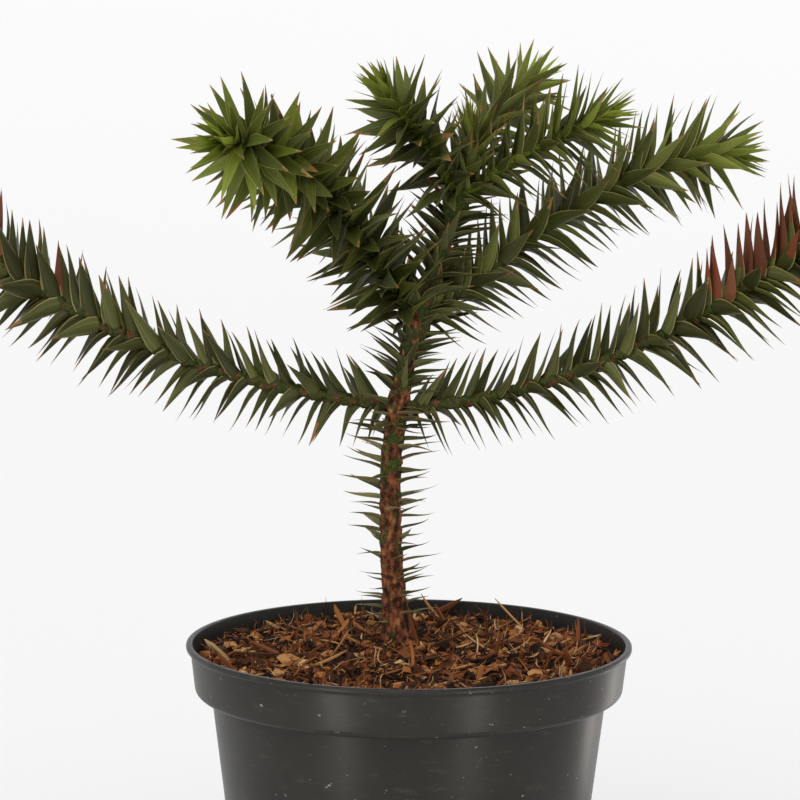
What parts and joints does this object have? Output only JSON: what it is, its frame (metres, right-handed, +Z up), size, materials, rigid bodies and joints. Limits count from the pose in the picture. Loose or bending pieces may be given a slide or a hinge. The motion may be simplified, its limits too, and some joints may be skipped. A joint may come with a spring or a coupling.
{
  "type": "potted monkey puzzle sapling",
  "caption": "Young monkey puzzle tree with stiff pointed leaves spiralled along upswept boughs, standing in a round tapered nursery pot filled with bark mix.",
  "frame": {"origin": "centre of the pot's flat underside", "axes": "+Z up the pot's axis; +X along the low boughs, to the right as the picture shows the plant; +Y away from the camera"},
  "size_m": [0.4538, 0.1922, 0.4088],
  "materials": {
    "pot": "satin dark green-black moulded plastic with fine scuffs",
    "potting_mix": "coarse reddish brown bark chips with pale splinters",
    "bark": "rough reddish brown bark with green leaf bases",
    "foliage": "stiff leathery dark green leaves with pale edges and brown tips"
  },
  "bodies": {
    "root": {"pot": "pot", "soil": "potting_mix", "trunk": "bark", "bough_lower_left": "bark", "bough_lower_right": "bark", "bough_upper_left": "bark", "bough_upper_right": "bark", "bough_crown_left": "bark", "bough_crown_right": "bark", "bough_crown_back": "bark", "foliage_lower_left": "foliage", "foliage_lower_right": "foliage", "foliage_upper_left": "foliage", "foliage_upper_right": "foliage", "foliage_crown_left": "foliage", "foliage_crown_right": "foliage", "foliage_crown_back": "foliage", "foliage_leader": "foliage", "foliage_trunk_low": "foliage", "foliage_trunk_middle": "foliage", "foliage_trunk_high": "foliage"}
  },
  "joints": []
}
